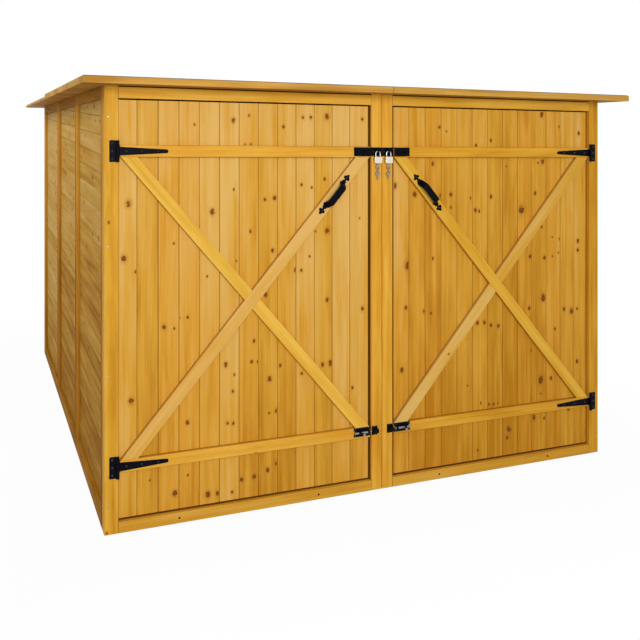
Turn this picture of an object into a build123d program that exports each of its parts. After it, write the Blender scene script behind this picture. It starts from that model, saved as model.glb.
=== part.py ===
from build123d import *
from math import cos, radians, sin
import os

# Wooden bike shelter with a pent roof and a pair of ledged and braced doors.
# Millimetres. +X to the right as seen from the doors, +Y to the back, +Z up.
# The ground is Z = 0, and the roof's outline is centred on X = 0 and Y = 0.

# Whole building
width = 2000
depth = 2080
front_height = 1448
roof_fall = 106
front_overhang = 92
back_overhang = 208
side_overhang = 80

# Front frame
corner_post_width = 45
middle_post_width = 42
middle_post_gap = 2
post_depth = 38
lintel_height = 41
lintel_clearance = 4
sill_height = 36

# Wall panels
wall_board_thickness = 12
wall_frame_thickness = 10
panels_per_wall = 3
panel_gap = 2
stile_width = 35
top_rail_height = 40
bottom_rail_height = 54

# Roof
front_deck_thickness = 22
rear_deck_thickness = 12
front_deck_depth = 1242
deck_lap = 40
deck_seam = 2
felt_thickness = 2
felt_inset = 4
rafter_width = 38
rafter_height = 58

# Doors
door_gap = 5
door_board_thickness = 12
door_rail_thickness = 18
door_rail_height = 38
upper_rail_drop = 166
lower_rail_rise = 174
brace_cut_width = 55
brace_edge_gap = 3

# Tee hinges
hinge_metal = 2.5
hinge_pin_on_post = 3
hinge_plate_reach = 26
hinge_plate_height = 70
hinge_corner_radius = 3
strap_length = 166
strap_root_height = 29
strap_tip_height = 12
pin_radius = 3
knuckle_radius = 5.5
knuckle_lift = 1
knuckle_play = 0.6
knuckle_end_play = 0.3
pin_clearance = 0.08

# Pull handles
handle_place_share = 0.865
handle_length = 180
handle_plate_thickness = 2.5
handle_tip_radius = 4.5
handle_lobe_radius = 5.5
handle_lobe_spread = 7
handle_lobe_setback = 15
handle_neck_width = 8
handle_collar_width = 16
handle_collar_length = 8
grip_span = 110
grip_flat = 76
grip_rise = 31
grip_thickness = 6
grip_foot = 7
grip_bend_radius = 12
grip_width = 24

# Hasps and staples
hasp_lift = 1
hasp_metal = 2
hasp_height = 32
hasp_leaf_length = 62
hasp_strap_length = 56
hasp_barrel_radius = 3.2
hasp_edge_gap = 1
hasp_slot_length = 24
hasp_slot_width = 9
hasp_slot_place = 30
staple_plate_width = 40
staple_lift = 4
staple_wire_radius = 2.5
staple_half_spread = 7.5
staple_leg = 10

# Bent wire of the staples and shackles, with a section of few sides and a bend of short flats
wire_sides = 8
wire_bends = 8

# Padlocks and keys
padlock_width = 30
padlock_height = 25
padlock_thickness = 14
padlock_top_radius = 3
padlock_bottom_radius = 6
shackle_wire_radius = 2.5
shackle_half_spread = 9
shackle_rise = 21
hang_clearance = 0.3
key_sides = 8
key_thickness = 2
key_bow_radius = 8
key_hole_radius = 3
key_hole_place = 4
key_shank_width = 5
key_shank_drop = 5
key_blade_length = 14
key_ring_radius = 6
key_ring_width = 1.6
key_ring_sides = 16

# Barrel bolts
bolt_lift = 4
bolt_plate_length = 66
bolt_plate_height = 32
bolt_plate_thickness = 2
bolt_plate_edge_gap = 1
bolt_notch_radius = 6
bolt_rod_radius = 4
bolt_guide_length = 8
bolt_guide_end_gap = 5
bolt_rear_guide_setback = 17
bolt_guide_wall = 2.5
bolt_clearance = 0.08
bolt_travel = 20
bolt_knob_radius = 3
bolt_knob_length = 18
bolt_knob_head_radius = 4.5
bolt_knob_head_length = 5
keeper_bore_radius = 6
keeper_wall = 2.5
keeper_length = 22
keeper_edge_gap = 1

# Places worked out from the sizes above
front_face = front_overhang - (front_overhang + depth + back_overhang) / 2
back_face = front_face + depth
roof_front = front_face - front_overhang
roof_back = back_face + back_overhang
front_deck_back = roof_front + front_deck_depth
lap_start = front_deck_back - deck_lap
half_width = width / 2
half_roof = half_width + side_overhang
wall_thickness = wall_board_thickness + wall_frame_thickness
opening_outer = -half_width + corner_post_width
opening_inner = -middle_post_gap / 2 - middle_post_width
opening_top = front_height - lintel_height
door_hinge_edge = opening_outer + door_gap
door_free_edge = opening_inner - door_gap
door_bottom = sill_height + door_gap
door_top = opening_top - door_gap
upper_rail_level = door_top - upper_rail_drop
lower_rail_level = door_bottom + lower_rail_rise
hasp_level = upper_rail_level + hasp_lift
bolt_level = lower_rail_level + bolt_lift
pin_x = opening_outer - hinge_pin_on_post
pin_y = front_face - knuckle_radius - knuckle_lift
middle_post_centre = opening_inner + middle_post_width / 2
staple_level = hasp_level + staple_lift
bolt_axis_y = front_face - bolt_plate_thickness - keeper_bore_radius


# Height of the roof's seat on the walls, which falls evenly to the back
def seat(y):
    return front_height - (y - front_face) * roof_fall / depth


def block(x_from, x_to, y_from, y_to, z_from, z_to):
    centre = Pos((x_from + x_to) / 2, (y_from + y_to) / 2, (z_from + z_to) / 2)
    return centre * Box(abs(x_to - x_from), abs(y_to - y_from), abs(z_to - z_from))


# A piece with one side-on outline in Y and Z, running along X
def run_along_x(points, x_from, x_to):
    outline = Plane.YZ.offset(min(x_from, x_to)) * Polygon(*points, align=None)
    return extrude(outline, abs(x_to - x_from), dir=(1, 0, 0))


# A piece with one front outline in X and Z, running along Y
def run_along_y(outline, y_from, y_to):
    placed = Plane.XZ.offset(-y_from) * outline
    return extrude(placed, y_to - y_from, dir=(0, 1, 0))


# A piece of wall frame or boarding that stands up to the sloping seat of the roof
def stand_to_seat(x_from, x_to, y_from, y_to, z_from):
    points = [(y_from, z_from), (y_to, z_from), (y_to, seat(y_to)), (y_from, seat(y_from))]
    return run_along_x(points, x_from, x_to)


def mirrored(solid):
    return mirror(solid, about=Plane.YZ)


def both_sides(solid):
    return [solid, mirrored(solid)]


# A rod bent like a hairpin: two straight legs and a half circle, in the plane of the given frame.
# The legs start on the frame's X axis and run along its Y axis.
def hairpin(frame, half_spread, leg, radius):
    turns = [radians(180 * i / wire_bends) for i in range(wire_bends + 1)]
    bend = [(half_spread * cos(turn), leg + half_spread * sin(turn)) for turn in turns]
    line = Polyline((half_spread, 0), *bend, (-half_spread, 0))
    section = Plane.XZ * Pos(half_spread, 0) * RegularPolygon(radius, wire_sides)
    return frame * sweep(section, line, transition=Transition.RIGHT)


# Front frame: two door frames side by side, each with two posts, a lintel and a sill
def front_frame(pieces):
    behind = front_face + post_depth
    corner = stand_to_seat(-half_width, opening_outer, front_face, behind, 0)
    middle = stand_to_seat(opening_inner, -middle_post_gap / 2, front_face, behind, 0)
    lintel = run_along_x([(front_face, opening_top), (behind, opening_top),
                          (behind, seat(behind) - lintel_clearance),
                          (front_face, seat(front_face) - lintel_clearance)], opening_outer, opening_inner)
    sill = block(opening_outer, opening_inner, front_face, behind, 0, sill_height)
    pieces["front_corner_posts"] = both_sides(corner)
    pieces["front_middle_posts"] = both_sides(middle)
    pieces["lintels"] = both_sides(lintel)
    pieces["sills"] = both_sides(sill)


# Start and end of each panel along a wall of the given reach
def panel_spans(start, end):
    pitch = (end - start + panel_gap) / panels_per_wall
    return [(start + i * pitch, start + (i + 1) * pitch - panel_gap) for i in range(panels_per_wall)]


# Left wall: panels of boards with a frame of stiles and rails on the outside
def side_wall():
    outer = -half_width
    middle = outer + wall_frame_thickness
    inner = outer + wall_thickness
    boards, stiles, rails = [], [], []
    for start, end in panel_spans(front_face + post_depth, back_face - post_depth):
        first, last = start + stile_width, end - stile_width
        boards.append(stand_to_seat(middle, inner, start, end, 0))
        stiles.append(stand_to_seat(outer, middle, start, first, 0))
        stiles.append(stand_to_seat(outer, middle, last, end, 0))
        rails.append(block(outer, middle, first, last, 0, bottom_rail_height))
        top = [(first, seat(first) - top_rail_height), (last, seat(last) - top_rail_height),
               (last, seat(last)), (first, seat(first))]
        rails.append(run_along_x(top, outer, middle))
    return boards, stiles, rails


# Back wall: the same panels between the rear corner posts
def back_wall():
    outer = back_face
    middle = outer - wall_frame_thickness
    inner = outer - wall_thickness
    end_of_wall = half_width - corner_post_width
    boards, stiles, rails = [], [], []
    for start, end in panel_spans(-end_of_wall, end_of_wall):
        first, last = start + stile_width, end - stile_width
        boards.append(stand_to_seat(start, end, inner, middle, 0))
        stiles.append(stand_to_seat(start, first, middle, outer, 0))
        stiles.append(stand_to_seat(last, end, middle, outer, 0))
        rails.append(block(first, last, middle, outer, 0, bottom_rail_height))
        rails.append(stand_to_seat(first, last, middle, outer, seat(middle) - top_rail_height))
    return boards, stiles, rails


def walls(pieces):
    boards, stiles, rails = side_wall()
    pieces["left_wall_boards"] = boards
    pieces["left_wall_stiles"] = stiles
    pieces["left_wall_rails"] = rails
    pieces["right_wall_boards"] = [mirrored(solid) for solid in boards]
    pieces["right_wall_stiles"] = [mirrored(solid) for solid in stiles]
    pieces["right_wall_rails"] = [mirrored(solid) for solid in rails]
    boards, stiles, rails = back_wall()
    pieces["back_wall_boards"] = boards
    pieces["back_wall_stiles"] = stiles
    pieces["back_wall_rails"] = rails
    rear_post = stand_to_seat(-half_width, opening_outer, back_face - post_depth, back_face, 0)
    pieces["rear_corner_posts"] = both_sides(rear_post)


# A sheet on the slope, between two heights above the roof's seat
def sloping_sheet(x_from, x_to, y_from, y_to, low, high):
    points = [(y_from, seat(y_from) + low), (y_to, seat(y_to) + low),
              (y_to, seat(y_to) + high), (y_from, seat(y_from) + high)]
    return run_along_x(points, x_from, x_to)


# Roof: a front and a rear row of two decks, the front row lapping over the rear row
def roof(pieces):
    seam = -deck_seam / 2
    front_profile = [
        (roof_front, seat(roof_front)),
        (lap_start, seat(lap_start)),
        (lap_start, seat(lap_start) + rear_deck_thickness),
        (front_deck_back, seat(front_deck_back) + rear_deck_thickness),
        (front_deck_back, seat(front_deck_back) + front_deck_thickness),
        (roof_front, seat(roof_front) + front_deck_thickness),
    ]
    front_deck = run_along_x(front_profile, -half_roof, seam)
    rear_deck = sloping_sheet(-half_roof, seam, lap_start, roof_back, 0, rear_deck_thickness)
    felt_edge = half_roof - felt_inset
    front_felt = sloping_sheet(-felt_edge, felt_edge, roof_front + felt_inset, front_deck_back - felt_inset,
                               front_deck_thickness, front_deck_thickness + felt_thickness)
    rear_felt = sloping_sheet(-felt_edge, felt_edge, front_deck_back, roof_back - felt_inset,
                              rear_deck_thickness, rear_deck_thickness + felt_thickness)
    pieces["roof_front_decks"] = both_sides(front_deck)
    pieces["roof_rear_decks"] = both_sides(rear_deck)
    pieces["roof_front_felt"] = [front_felt]
    pieces["roof_rear_felt"] = [rear_felt]
    purlin_front = lap_start - rafter_width / 2
    purlin_back = lap_start + rafter_width / 2
    inner = half_width - wall_thickness
    purlin = sloping_sheet(-inner, inner, purlin_front, purlin_back, -rafter_height, 0)
    half_rafter = rafter_width / 2
    front_rafter = sloping_sheet(-half_rafter, half_rafter, front_face + post_depth, purlin_front,
                                 -rafter_height, 0)
    rear_rafter = sloping_sheet(-half_rafter, half_rafter, purlin_back, back_face - wall_thickness,
                                -rafter_height, 0)
    pieces["roof_purlin"] = [purlin]
    pieces["roof_rafters"] = [front_rafter, rear_rafter]


# A door brace, cut level where it meets the rails
def brace_outline(foot_x, head_x):
    low = lower_rail_level + door_rail_height / 2
    high = upper_rail_level - door_rail_height / 2
    half = brace_cut_width / 2
    return Polygon((foot_x - half, low), (foot_x + half, low), (head_x + half, high), (head_x - half, high),
                   align=None)


# Left door: boards, two rails, one long brace and two short ones that butt against it
def door_leaf():
    rail_back = front_face + door_rail_thickness
    board_back = rail_back + door_board_thickness
    boards = block(door_hinge_edge, door_free_edge, rail_back, board_back, door_bottom, door_top)
    rails = []
    for level in (lower_rail_level, upper_rail_level):
        low, high = level - door_rail_height / 2, level + door_rail_height / 2
        rails.append(block(door_hinge_edge, door_free_edge, front_face, rail_back, low, high))
    near, far = brace_ends()
    long_brace = run_along_y(brace_outline(near, far), front_face, rail_back)
    crossing = run_along_y(brace_outline(far, near), front_face, rail_back)
    short_braces = (crossing - long_brace).solids()
    return boards, rails, long_brace, short_braces


# Middle of a brace's foot at the hinge side, and of its head at the free side
def brace_ends():
    inset = brace_edge_gap + brace_cut_width / 2
    return door_hinge_edge + inset, door_free_edge - inset


# Tee hinge at one level: the plate and pin on the post, and the strap on the door
def tee_hinge(level):
    half_plate = hinge_plate_height / 2
    half_root = strap_root_height / 2
    metal_front = front_face - hinge_metal
    at_pin = Pos(pin_x, pin_y, level)
    outer_edge = pin_x - hinge_plate_reach
    plate = block(outer_edge, pin_x, metal_front, front_face, level - half_plate, level + half_plate)
    corners = plate.edges().filter_by(Axis.Y).group_by(Axis.X)[0]
    plate = fillet(corners, hinge_corner_radius)
    plate += at_pin * Cylinder(knuckle_radius, hinge_plate_height)
    half_space = half_root + knuckle_end_play
    cut_back = knuckle_radius + knuckle_play
    plate -= block(pin_x - cut_back, pin_x + cut_back, pin_y - cut_back, front_face, level - half_space,
                   level + half_space)
    plate += at_pin * Cylinder(pin_radius, hinge_plate_height)
    tip_x = pin_x + strap_length - strap_tip_height / 2
    half_tip = strap_tip_height / 2
    taper = Polygon((pin_x, level - half_root), (tip_x, level - half_tip), (tip_x, level + half_tip),
                    (pin_x, level + half_root), align=None)
    strap = run_along_y(taper + Pos(tip_x, level) * Circle(half_tip), metal_front, front_face)
    strap += at_pin * Cylinder(knuckle_radius, strap_root_height)
    strap -= at_pin * Cylinder(pin_radius + pin_clearance, hinge_plate_height)
    return plate, strap


# Side view of the grip: a straight top on two sloping legs, with rounded bends
def grip_outline(half_foot, half_top, rise, bend_radius):
    outline = Polygon((-half_foot, 0), (half_foot, 0), (half_top, rise), (-half_top, rise), align=None)
    return fillet(outline.vertices().group_by(Axis.Y)[-1], bend_radius)


# Pull handle on the long brace: two lobed end plates and a straight grip that stands out from the door
def pull_handle():
    near, far = brace_ends()
    low = lower_rail_level + door_rail_height / 2
    high = upper_rail_level - door_rail_height / 2
    along_brace = Vector(far - near, 0, high - low)
    place = Vector(near, front_face, low) + along_brace * handle_place_share
    frame = Plane(origin=place, x_dir=along_brace, z_dir=(0, -1, 0))
    tip = handle_length / 2 - handle_tip_radius
    shoulder = handle_length / 2 - handle_lobe_setback
    half_span = grip_span / 2
    half_bore = half_span - grip_foot
    collar_end = half_span + handle_collar_length
    ends = Sketch()
    for way in (-1, 1):
        ends += Pos(way * tip, 0) * Circle(handle_tip_radius)
        ends += Pos(way * shoulder, handle_lobe_spread) * Circle(handle_lobe_radius)
        ends += Pos(way * shoulder, -handle_lobe_spread) * Circle(handle_lobe_radius)
        for reach, across in ((collar_end, handle_collar_width), (tip, handle_neck_width)):
            ends += Pos(way * (half_bore + reach) / 2, 0) * Rectangle(reach - half_bore, across)
    handle = extrude(ends, handle_plate_thickness)
    outer = grip_outline(half_span, grip_flat / 2, grip_rise, grip_bend_radius)
    inner = grip_outline(half_bore, (grip_flat - grip_foot) / 2, grip_rise - grip_thickness,
                         grip_bend_radius - grip_thickness)
    bow = extrude(Plane.XZ * (outer - inner), grip_width / 2, both=True)
    return frame * (handle + bow)


# Hasp on the free end of the upper rail, its slotted strap folded back over its leaf
def hasp():
    half = hasp_height / 2
    end = door_free_edge - hasp_edge_gap
    barrel_x = end - hasp_barrel_radius
    barrel_y = front_face - hasp_barrel_radius
    low, high = hasp_level - half, hasp_level + half
    piece = block(barrel_x - hasp_leaf_length, barrel_x, front_face - hasp_metal, front_face, low, high)
    piece += Pos(barrel_x, barrel_y, hasp_level) * Cylinder(hasp_barrel_radius, hasp_height)
    strap_front = barrel_y - hasp_barrel_radius
    nose = barrel_x - hasp_strap_length + half
    outline = Polygon((nose, low), (barrel_x, low), (barrel_x, high), (nose, high), align=None)
    outline += Pos(nose, hasp_level) * Circle(half)
    slot_x = barrel_x - hasp_slot_place
    outline -= Pos(slot_x, hasp_level) * SlotOverall(hasp_slot_length, hasp_slot_width)
    piece += run_along_y(outline, strap_front, strap_front + hasp_metal)
    return piece


# Staple on the middle post, a plate with a loop that takes the padlock
def hasp_staple():
    half = hasp_height / 2
    half_plate = staple_plate_width / 2
    plate = block(middle_post_centre - half_plate, middle_post_centre + half_plate, front_face - hasp_metal,
                  front_face, hasp_level - half, hasp_level + half)
    frame = Plane(origin=(middle_post_centre, front_face, staple_level), x_dir=(0, 0, 1), z_dir=(1, 0, 0))
    return plate + hairpin(frame, staple_half_spread, staple_leg, staple_wire_radius)


# Padlock that hangs on the staple: its shackle, its body and its keys
def padlock():
    plane_y = front_face - staple_leg
    crown = staple_level - staple_half_spread + staple_wire_radius + shackle_wire_radius + hang_clearance
    body_top = crown + shackle_wire_radius - shackle_rise
    body_bottom = body_top - padlock_height
    leg = crown - shackle_half_spread - body_top
    frame = Plane(origin=(middle_post_centre, plane_y, body_top), x_dir=(1, 0, 0), z_dir=(0, -1, 0))
    shackle = hairpin(frame, shackle_half_spread, leg, shackle_wire_radius)
    half_width_of_body = padlock_width / 2
    half_thickness = padlock_thickness / 2
    body = block(middle_post_centre - half_width_of_body, middle_post_centre + half_width_of_body,
                 plane_y - half_thickness, plane_y + half_thickness, body_bottom, body_top)
    levels = body.edges().filter_by(Axis.Y).group_by(Axis.Z)
    body = fillet(levels[0], padlock_bottom_radius)
    body = fillet(body.edges().filter_by(Axis.Y).group_by(Axis.Z)[-1], padlock_top_radius)
    return shackle, body, key_bunch(plane_y, body_bottom)


# A regular polygon round a circle of the given radius, with one side level on top
def flat_topped(radius, sides):
    return RegularPolygon(radius, sides, major_radius=False, rotation=180 / sides)


# A key seen from the front: an eight-sided bow with a hole, and a flat shank that points up or down
def key(bow_z, plane_y, way, reach):
    hole_z = bow_z - way * key_hole_place
    outline = Pos(middle_post_centre, bow_z) * flat_topped(key_bow_radius, key_sides)
    middle = bow_z + way * reach / 2
    outline += Pos(middle_post_centre, middle) * Rectangle(key_shank_width, reach)
    outline -= Pos(middle_post_centre, hole_z) * flat_topped(key_hole_radius, key_sides)
    half = key_thickness / 2
    return run_along_y(outline, plane_y - half, plane_y + half)


# The key in the lock, the ring in its bow and the spare key on the ring
def key_bunch(plane_y, lock_bottom):
    upper_bow = lock_bottom - key_shank_drop - key_bow_radius
    first = key(upper_bow, plane_y, 1, lock_bottom - upper_bow)
    ring_top = upper_bow - key_hole_place - key_hole_radius + key_ring_width / 2 + hang_clearance
    ring_centre = ring_top - key_ring_radius
    ring_bottom = ring_centre - key_ring_radius
    half_ring = key_ring_width / 2
    hoop = flat_topped(key_ring_radius + half_ring, key_ring_sides)
    hoop -= flat_topped(key_ring_radius - half_ring, key_ring_sides)
    ring = Pos(middle_post_centre, plane_y, ring_centre) * extrude(Plane.YZ * hoop, half_ring, both=True)
    lower_hole = ring_bottom + key_ring_width / 2 + hang_clearance - key_hole_radius
    lower_bow = lower_hole - key_hole_place
    second = key(lower_bow, plane_y, -1, key_bow_radius + key_blade_length)
    return [first, ring, second]


# A saddle over the bolt: an arch on a flat foot, pierced along X
def saddle(x_from, x_to, bore_radius, wall):
    outer = bore_radius + wall
    foot = block(x_from, x_to, bolt_axis_y, front_face, bolt_level - outer, bolt_level + outer)
    centre = Pos((x_from + x_to) / 2, bolt_axis_y, bolt_level) * Rot(0, 90, 0)
    solid = foot + centre * Cylinder(outer, abs(x_to - x_from))
    solid -= block(x_from, x_to, front_face, front_face + outer, bolt_level - outer, bolt_level + outer)
    return solid, centre * Cylinder(bore_radius, abs(x_to - x_from))


# Barrel bolt on the lower rail: a plate with scalloped ends, two guides and the sliding rod
def barrel_bolt():
    end = door_free_edge - bolt_plate_edge_gap
    start = end - bolt_plate_length
    outline = Pos((start + end) / 2, bolt_level) * Rectangle(bolt_plate_length, bolt_plate_height)
    for x in (start, end):
        outline -= Pos(x, bolt_level) * Circle(bolt_notch_radius)
    plate = run_along_y(outline, front_face - bolt_plate_thickness, front_face)
    rear_guide = start + bolt_rear_guide_setback
    front_guide = end - bolt_guide_end_gap - bolt_guide_length
    for x in (rear_guide, front_guide):
        arch, bore = saddle(x, x + bolt_guide_length, bolt_rod_radius + bolt_clearance, bolt_guide_wall)
        plate += arch
        plate -= bore
    rod_start = rear_guide + bolt_guide_length / 2 - bolt_travel
    along_x = Rot(0, 90, 0)
    rod_centre = Pos((rod_start + end) / 2, bolt_axis_y, bolt_level)
    rod = rod_centre * along_x * Cylinder(bolt_rod_radius, end - rod_start)
    knob_x = (rear_guide + bolt_guide_length + front_guide - bolt_travel) / 2
    outward = Rot(90, 0, 0)
    stem_y = bolt_axis_y - bolt_knob_length / 2
    head_y = bolt_axis_y - bolt_knob_length - bolt_knob_head_length / 2
    rod += Pos(knob_x, stem_y, bolt_level) * outward * Cylinder(bolt_knob_radius, bolt_knob_length)
    rod += Pos(knob_x, head_y, bolt_level) * outward * Cylinder(bolt_knob_head_radius, bolt_knob_head_length)
    return plate, rod


# Keeper on the middle post, a saddle with two ears that the bolt slides into
def bolt_keeper():
    start = opening_inner + keeper_edge_gap
    end = start + keeper_length
    half = bolt_plate_height / 2
    arch, bore = saddle(start, end, keeper_bore_radius, keeper_wall)
    ears = block(start, end, front_face - bolt_plate_thickness, front_face, bolt_level - half,
                 bolt_level + half)
    return arch + ears - bore


def doors_and_hardware(pieces):
    boards, rails, long_brace, short_braces = door_leaf()
    hinges = [tee_hinge(level) for level in (lower_rail_level, upper_rail_level)]
    bolt_plate, bolt = barrel_bolt()
    on_each_side = {
        "door_boards": [boards],
        "door_rails": rails,
        "door_long_brace": [long_brace],
        "door_short_braces": short_braces,
        "hinge_plates": [plate for plate, strap in hinges],
        "hinge_straps": [strap for plate, strap in hinges],
        "door_handle": [pull_handle()],
        "hasp": [hasp()],
        "bolt_plate": [bolt_plate],
        "bolt": [bolt],
    }
    for name, solids in on_each_side.items():
        pieces["left_" + name] = list(solids)
        pieces["right_" + name] = [mirrored(solid) for solid in solids]
    shackle, body, keys = padlock()
    pieces["hasp_staples"] = both_sides(hasp_staple())
    pieces["padlock_shackles"] = both_sides(shackle)
    pieces["padlock_bodies"] = both_sides(body)
    pieces["padlock_keys"] = keys + [mirrored(solid) for solid in keys]
    pieces["bolt_keepers"] = both_sides(bolt_keeper())


pieces = {}
front_frame(pieces)
walls(pieces)
roof(pieces)
doors_and_hardware(pieces)
os.makedirs("parts", exist_ok=True)
for name, solids in pieces.items():
    shape = solids[0] if len(solids) == 1 else Compound(solids)
    export_step(shape, "parts/" + name + ".step")
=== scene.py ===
import math
import random
from functools import partial
import bmesh
import bpy
from mathutils import Matrix, Vector
from mathutils.geometry import delaunay_2d_cdt


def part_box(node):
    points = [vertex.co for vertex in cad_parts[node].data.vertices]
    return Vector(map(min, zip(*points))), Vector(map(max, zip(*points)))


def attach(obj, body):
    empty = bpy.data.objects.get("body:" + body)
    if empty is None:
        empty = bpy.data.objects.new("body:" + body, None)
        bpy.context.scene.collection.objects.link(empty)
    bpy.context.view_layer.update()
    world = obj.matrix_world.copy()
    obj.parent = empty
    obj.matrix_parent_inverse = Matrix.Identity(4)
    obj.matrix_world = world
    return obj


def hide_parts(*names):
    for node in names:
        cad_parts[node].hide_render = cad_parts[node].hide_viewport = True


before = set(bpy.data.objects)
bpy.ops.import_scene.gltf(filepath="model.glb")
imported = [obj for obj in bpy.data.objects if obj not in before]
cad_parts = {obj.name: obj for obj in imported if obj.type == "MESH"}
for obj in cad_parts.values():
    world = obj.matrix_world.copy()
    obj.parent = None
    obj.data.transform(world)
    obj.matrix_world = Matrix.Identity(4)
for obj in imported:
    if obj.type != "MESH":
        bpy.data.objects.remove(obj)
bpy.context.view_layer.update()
mm = 0.001
scene = bpy.context.scene
scene.view_settings.view_transform = "Standard"
print("frame loaded,", len(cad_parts), "nodes")


# sRGB hex to linear colour
def linear(hexColour):
    parts = [int(hexColour[i:i + 2], 16) / 255 for i in (1, 3, 5)]
    return [p / 12.92 if p <= 0.04045 else ((p + 0.055) / 1.055) ** 2.4 for p in parts] + [1.0]


def colourRamp(places, colours):
    return list(zip(places, map(linear, colours)))


def greyRamp(stops):
    return [(place, (level, level, level, 1)) for place, level in stops]


# Sets a node's inputs, in order or by name, and its properties. A value that is a node or a socket is linked.
def setNode(node, inputs=(), **settings):
    numbered = inputs if isinstance(inputs, dict) else dict(enumerate(inputs))
    for name, value in (settings | numbered).items():
        if isinstance(value, bpy.types.Node):
            value = value.outputs[0]
        if isinstance(value, bpy.types.NodeSocket):
            node.id_data.links.new(value, node.inputs[name])
        elif name == "ramp":
            stops = node.color_ramp.elements
            stops.remove(stops[1])
            stops[0].position, stops[0].color = value[0]
            for place, colour in value[1:]:
                stops.new(place).color = colour
        elif isinstance(name, str) and hasattr(node, name):
            setattr(node, name, value)
        else:
            node.inputs[name].default_value = value
    return node


def addNode(tree, kind, inputs=(), **settings):
    return setNode(tree.nodes.new("ShaderNode" + kind), inputs, **settings)


# A new material, the function that adds its nodes, and its surface
def newMaterial(name):
    material = bpy.data.materials.new(name)
    material.use_nodes = True
    tree = material.node_tree
    return material, partial(addNode, tree), tree.nodes["Principled BSDF"]


# Stage: white all round, a floor that keeps a faint shadow, one large soft lamp and a fill
stage = dict(
    floorReach=40.0,
    floorColour="#a4a4a4",
    floorRoughness=0.9,
    floorGloss=0.1,
    coveredMiddle=(0.0, -0.058, 0.0),  # the ground inside the walls, which stays unlit
    coveredHalf=(0.99, 1.03, 0.0),
    shadowShare=0.03,  # how much of the floor's own shading shows beside the shelter
    shadowReach=0.9,  # metres from the walls, where the shadow has faded out
    skyColour="#fffdf8",
    skyStrength=0.42,
    keyPlace=(-1.2, -6.2, 2.2),
    keyAim=(-0.2, -1.1, 0.8),
    keySize=2.4,
    keyPower=219.0,
    fillPlace=(-3.6, 0.3, 3.5),
    fillAim=(-1.0, 0.2, 1.1),
    fillSize=2.0,
    fillPower=64.0,
)


# Camera, mirror and glass rays see the plain white background
def whiteRays(add):
    path = add("LightPath").outputs
    both = add("Math", [path["Is Camera Ray"], path["Is Glossy Ray"]], operation="MAXIMUM")
    return add("Math", [both, path["Is Transmission Ray"]], operation="MAXIMUM")


def makeWorld():
    world = bpy.data.worlds.new("whiteSurround")
    scene.world = world
    world.use_nodes = True
    nodes = world.node_tree.nodes
    add = partial(addNode, world.node_tree)
    light = setNode(nodes["Background"], Color=linear(stage["skyColour"]), Strength=stage["skyStrength"])
    white = add("Background", Color=(1, 1, 1, 1), Strength=1.0)
    setNode(nodes["World Output"], Surface=add("MixShader", [whiteRays(add), light, white]))


def makeFloor():
    material, add, surface = newMaterial("paleSeamlessPaper")
    setNode(surface, {"Base Color": linear(stage["floorColour"]), "Roughness": stage["floorRoughness"],
                      "Specular IOR Level": stage["floorGloss"]})
    white = add("Emission", Color=(1, 1, 1, 1), Strength=1.0)
    place = add("TexCoord").outputs["Object"]
    fromMiddle = add("VectorMath", [place, stage["coveredMiddle"]], operation="SUBTRACT")
    apart = add("VectorMath", [fromMiddle], operation="ABSOLUTE")
    beyond = add("VectorMath", [apart, stage["coveredHalf"]], operation="SUBTRACT")
    sides = add("SeparateXYZ", [beyond]).outputs
    away = add("Math", [sides["X"], sides["Y"]], operation="MAXIMUM")
    whiteShare = add("MapRange", [away, 0.0, stage["shadowReach"], 1 - stage["shadowShare"], 1.0])
    outside = add("Math", [away, 0.0], operation="GREATER_THAN")
    openWhite = add("Math", [outside, whiteShare], operation="MULTIPLY")
    seen = add("Math", [whiteRays(add), openWhite], operation="MULTIPLY")
    mix = add("MixShader", [seen, surface, white])
    setNode(material.node_tree.nodes["Material Output"], Surface=mix)
    reach = stage["floorReach"]
    mesh = bpy.data.meshes.new("floor")
    mesh.from_pydata([(-reach, -reach, 0), (reach, -reach, 0), (reach, reach, 0), (-reach, reach, 0)], [],
                     [(0, 1, 2, 3)])
    mesh.materials.append(material)
    floor = bpy.data.objects.new("floor", mesh)
    scene.collection.objects.link(floor)


def softLamp(name, place, aim, size, power):
    lamp = bpy.data.lights.new(name, "AREA")
    lamp.size = size
    lamp.energy = power
    holder = bpy.data.objects.new(name, lamp)
    scene.collection.objects.link(holder)
    holder.location = place
    holder.rotation_euler = (Vector(aim) - Vector(place)).to_track_quat("-Z", "Y").to_euler()


makeWorld()
makeFloor()
for lampName, role in (("keySoftbox", "key"), ("leftFill", "fill")):
    softLamp(lampName, *[stage[role + kind] for kind in ("Place", "Aim", "Size", "Power")])
print("stage ready")

# Camera: the picture was straightened, so its uprights stay upright, eye level lies high in it and its
# level lines lean. The camera's own axes are slanted to match, with no lens shift.
photoView = dict(
    place=(-1.4272, -3.8705, 1.4157),
    turn=23.05,  # degrees to the right of straight on
    focal=847.1,  # in pixels of the picture
    picture=640,
    horizonRow=101.3,
    lean=0.0292,  # fall of level lines, per pixel across
)


def makeCamera():
    turn = math.radians(photoView["turn"])
    ahead = Vector((math.sin(turn), math.cos(turn), 0))
    right = Vector((math.cos(turn), -math.sin(turn), 0))
    up = Vector((0, 0, 1))
    drop = (photoView["picture"] / 2 - photoView["horizonRow"]) / photoView["focal"]
    back = drop * up - ahead
    slanted = Matrix.Identity(4)
    for column, axis in enumerate((right + photoView["lean"] * up, up, back)):
        slanted.col[column][:3] = axis.normalized()
    slanted.col[3][:3] = photoView["place"]
    lens = bpy.data.cameras.new("photoCamera")
    lens.lens = photoView["focal"] * back.length * lens.sensor_width / photoView["picture"]
    camera = bpy.data.objects.new("photoCamera", lens)
    mast = bpy.data.objects.new("photoCameraMast", None)
    for thing in (camera, mast):
        scene.collection.objects.link(thing)
    camera.parent = mast
    camera.matrix_parent_inverse = slanted
    scene.camera = camera


makeCamera()
print("camera ready")

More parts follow.
